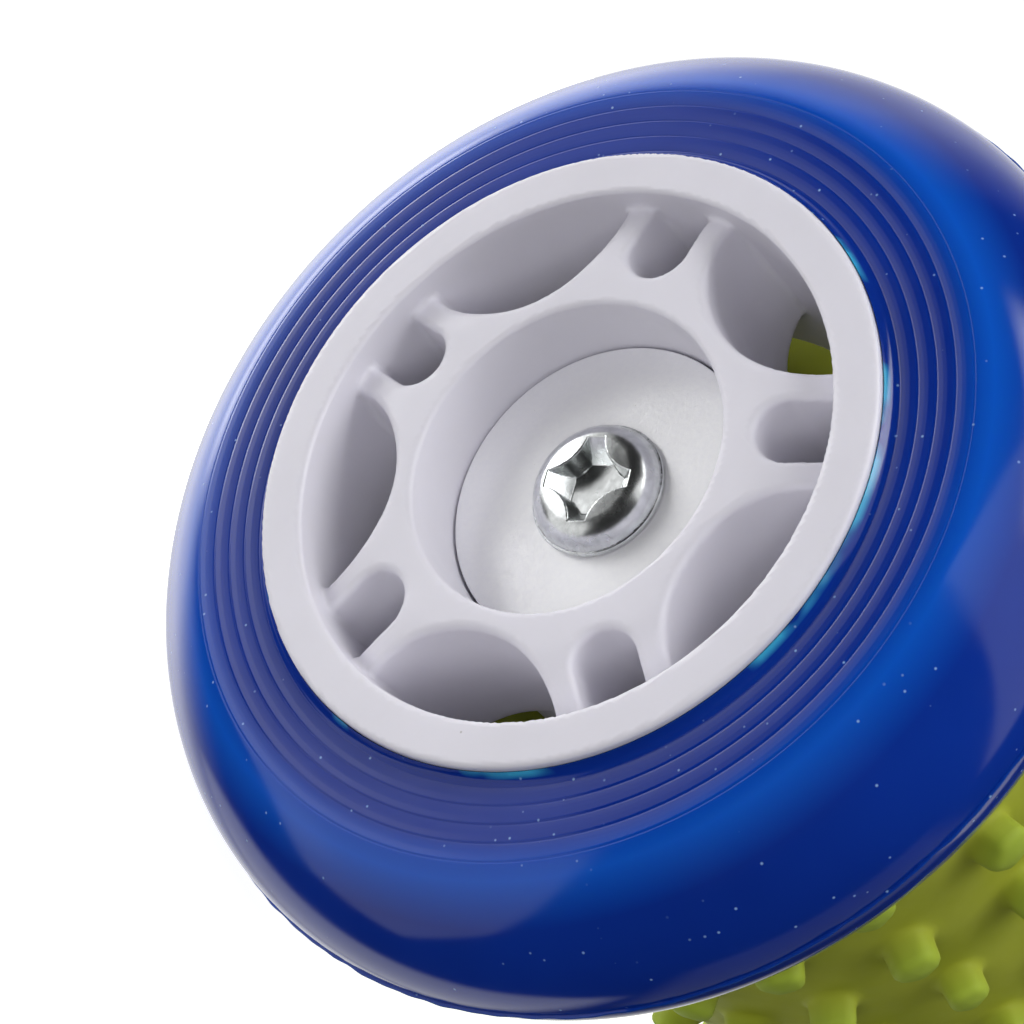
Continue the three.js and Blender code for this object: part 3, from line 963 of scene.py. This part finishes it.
def green_vinyl_material():
    """Yellow-green soft vinyl with faint clouding. The nubs are painted lighter and greener than the skin:
    painted light on the nubs and painted shade between them.
    """
    n = material_nodes("green_vinyl")
    # Painted light and shade: the colour turns lighter and greener with height up a nub, so the skin
    # between the nubs reads as shaded.
    painted_nub_light = n.ramp(n.radius(), SKIN_RADIUS + 0.1, SKIN_RADIUS + NUB_HEIGHT)
    cloud = n.noise(120, 4)
    skin = n.mix(n.ramp(cloud, 0.3, 0.7), (0.32, 0.36, 0.025), (0.40, 0.44, 0.045))
    n.set(Base_Color=n.mix(painted_nub_light, skin, (0.34, 0.45, 0.05)))
    n.set(Roughness=n.ramp(n.noise(500, 3), 0.3, 0.7, 0.55, 0.7), Specular_IOR_Level=0.2)
    n.set(Subsurface_Weight=0.25, Subsurface_Radius=(1.0, 1.0, 0.3), Subsurface_Scale=0.002)
    n.bump(n.noise(700, 3), 0.12, 0.08)
    return n.block


def zinc_material():
    """Bright zinc plate with a fine satin speckle."""
    n = material_nodes("zinc_plate")
    grain = n.noise(2600, 4, 0.7)
    cloud = n.noise(180, 3)
    n.set(Base_Color=n.mix(n.ramp(grain, 0.3, 0.75), (0.99, 0.99, 1.0), (0.95, 0.95, 0.98)))
    n.set(Metallic=0.5)
    satin = n.ramp(grain, 0.3, 0.7, 0.32, 0.42)
    n.set(Roughness=n.math("ADD", satin, n.ramp(cloud, 0.3, 0.7, -0.05, 0.05)))
    n.bump(grain, 0.25, 0.05)
    return n.block


def nickel_material():
    """Bright plated screw with fine pits."""
    n = material_nodes("nickel_plate")
    pits = n.noise(1500, 3, 0.6)
    n.set(Base_Color=n.mix(n.ramp(pits, 0.35, 0.7), (0.84, 0.86, 0.86), (0.66, 0.68, 0.68)))
    n.set(Metallic=1.0)
    n.set(Roughness=n.ramp(n.noise(600, 3), 0.3, 0.75, 0.18, 0.32))
    n.bump(pits, 0.12, 0.05)
    return n.block


def steel_material():
    """Drawn steel tube with fine scratches along its length."""
    n = material_nodes("ground_steel")
    stretch = n.add("ShaderNodeMapping")
    n.link(n.place, stretch.inputs["Vector"])
    stretch.inputs["Scale"].default_value = (0.08, 1, 1)
    scratches = n.noise(2500, 3, 0.6, stretch.outputs["Vector"])
    n.set(Base_Color=n.mix(scratches, (0.5, 0.5, 0.52), (0.62, 0.62, 0.64)))
    n.set(Metallic=1.0)
    n.set(Roughness=n.ramp(scratches, 0.3, 0.7, 0.25, 0.42))
    n.bump(scratches, 0.1, 0.03)
    return n.block


def plain_plastic_material(name, light, dark):
    """Moulded plastic with a faint grain."""
    n = material_nodes(name)
    n.set(Base_Color=n.mix(n.ramp(n.noise(160, 4), 0.3, 0.7), light, dark))
    n.set(Roughness=n.ramp(n.noise(800, 2), 0.3, 0.7, 0.42, 0.58))
    n.bump(n.noise(1200, 3), 0.12, 0.06)
    return n.block


# ---------------------------------------------------------------- studio


def studio_floor():
    """A pale floor lit through from below, as on a light table. It adds no light to the object."""
    size = 3.0
    mesh = bpy.data.meshes.new("floor")
    corners = [(-size, -size, 0), (size, -size, 0), (size, size, 0), (-size, size, 0)]
    mesh.from_pydata(corners, [], [(0, 1, 2, 3)])
    floor = bpy.data.objects.new("floor", mesh)
    bpy.context.scene.collection.objects.link(floor)
    n = material_nodes("floor")
    n.set(Base_Color=(0.85, 0.85, 0.86), Roughness=0.9, Specular_IOR_Level=0.1)
    n.set(Emission_Color=(1.0, 1.0, 1.0), Emission_Strength=0.95)
    mesh.materials.append(n.block)
    floor.visible_diffuse = False
    floor.visible_glossy = False
    floor.visible_transmission = False
    floor.visible_shadow = False


def direction(azimuth, elevation):
    """A unit vector from angles in degrees: azimuth from +X towards +Y, elevation from the floor."""
    return Quaternion((0, 0, 1), math.radians(azimuth)) @ Vector(
        (math.cos(math.radians(elevation)), 0, math.sin(math.radians(elevation)))
    )


def soft_panel(n, corners, softness):
    """Share of a softbox seen in a direction: 1 inside its corners and 0 outside."""
    corners = [direction(*corner) for corner in corners]
    middle = sum(corners, Vector())
    share = 1.0
    for first, second in zip(corners, corners[1:] + corners[:1]):
        edge = first.cross(second).normalized()
        if edge.dot(middle) < 0:
            edge.negate()
        inside = n.dot(n.place, edge)
        share = n.math("MULTIPLY", share, n.ramp(inside, -softness, softness))
    return share


# White cloth behind and beside the roller: softness of its edges, corners (azimuth, elevation).
BACKDROP = [
    (0.2, [(12, 40), (12, -42), (100, -42), (112, 40)]),
    (0.05, [(325, -42), (14, -36), (75, -48), (80, -66), (28, -74), (318, -62)]),
]
BACKDROP_LEVEL = 1.05

# Softboxes round the roller: brightness, softness of the edges, corners (azimuth, elevation).
SOFTBOXES = [
    (1.1, 0.14, [(60, -42), (96, -42), (118, -28), (130, 8), (66, 18)]),
    (4.0, 0.07, [(92, -26), (112, -26), (135, -16), (135, -6), (112, 0), (92, 2)]),
    (0.95, 0.04, [(133, -18), (150, -18), (150, -8), (141, 0), (133, 4)]),
    (
        0.75,
        0.015,
        [(137, -10), (154, -15), (175, -22), (190, -30), (202, -40), (212, -50), (222, -62), (225, -84),
         (126, -72)],
    ),
    (0.2, 0.04, [(137, -16), (147, -18), (152, -64), (136, -64)]),
    (1.0, 0.015, [(190, 24), (300, 20), (290, 75), (190, 65)]),
    (5.3, 0.06, [(150, 58), (215, 53), (300, 53), (290, 84), (150, 84)]),
    (0.2, 0.05, [(300, -35), (345, -35), (345, 8), (300, 8)]),
    (0.9, 0.01, [(332, 2), (348, 4), (348, 16), (334, 13)]),
]


def studio_world():
    """White cloth behind the roller and softboxes round it, with a dark gap in the camera's direction."""
    world = bpy.data.worlds.new("studio")
    n = Nodes(world, "Generated")
    light = 0.02
    for softness, corners in BACKDROP:
        panel = n.math("MULTIPLY", soft_panel(n, corners, softness), BACKDROP_LEVEL)
        light = n.math("MAXIMUM", light, panel)
    for brightness, softness, corners in SOFTBOXES:
        panel = n.math("MULTIPLY", soft_panel(n, corners, softness), brightness)
        light = n.math("ADD", light, panel)
    seen = n.add("ShaderNodeLightPath").outputs["Is Camera Ray"]
    n.shader.inputs["Color"].default_value = (1, 1, 1, 1)
    n.link(n.math("MAXIMUM", light, seen), n.shader.inputs["Strength"])
    bpy.context.scene.world = world


FILL_DIRECTION = (216, -10)
FILL_SIZE = 0.5
FILL_DISTANCE = 0.7
FILL_POWER = 1.8


def studio_fill():
    """A weak soft light, low on the camera's side, that opens the core's shadows and leaves no highlight.

    Its lower part is beneath the floor, which casts no shadow.
    """
    data = bpy.data.lights.new("fill", "AREA")
    data.size = FILL_SIZE
    data.energy = FILL_POWER
    light = bpy.data.objects.new("fill", data)
    away = direction(*FILL_DIRECTION)
    light.location = Vector((-OBJECT_LENGTH / 2, 0, AXLE_HEIGHT)) * MM + away * FILL_DISTANCE
    light.rotation_mode = "QUATERNION"
    light.rotation_quaternion = away.to_track_quat("Z", "Y")
    light.visible_glossy = False
    bpy.context.scene.collection.objects.link(light)


CAMERA_OFFSET = Vector((-134.7, -111.7, 18.0))
CAMERA_AIM = Vector((0.0, -2.2, -4.5))
CAMERA_ROLL = math.radians(52.6)
CAMERA_LENS = 98.4
CAMERA_SENSOR = 36


def studio_camera():
    """The camera looks at the left wheel's outer face from close by, rolled about its own axis."""
    face = Vector((-OBJECT_LENGTH / 2, 0, AXLE_HEIGHT))
    data = bpy.data.cameras.new("camera")
    data.lens = CAMERA_LENS
    data.sensor_width = CAMERA_SENSOR
    data.clip_start = 0.005
    data.clip_end = 20
    camera = bpy.data.objects.new("camera", data)
    camera.location = (face + CAMERA_OFFSET) * MM
    camera.rotation_mode = "QUATERNION"
    level = (CAMERA_AIM - CAMERA_OFFSET).to_track_quat("-Z", "Y")
    camera.rotation_quaternion = level @ Quaternion((0, 0, 1), CAMERA_ROLL)
    bpy.context.scene.collection.objects.link(camera)
    bpy.context.scene.camera = camera


def build():
    """Makes every material and every piece."""
    white = white_abs_material()
    blue = blue_tyre_material()
    green = green_vinyl_material()
    zinc = zinc_material()
    nickel = nickel_material()
    steel = steel_material()
    nylon = plain_plastic_material("nylon", (0.75, 0.73, 0.66), (0.68, 0.66, 0.58))
    grey = plain_plastic_material("grey_plastic", (0.3, 0.31, 0.32), (0.24, 0.25, 0.26))
    for seed, side in ((11, "left"), (23, "right")):
        wheel_core(side, white)
        wheel_tyre(side, blue)
        parting_flash(side, blue, seed)
        retaining_washer(side, zinc)
        retaining_screw(side, nickel)
        inner_fittings(side, nylon, grey)
    drum_skin(green)
    drum_inside(grey, steel)


studio_camera()
studio_floor()
studio_world()
studio_fill()
build()
bpy.context.scene.view_settings.view_transform = "Standard"
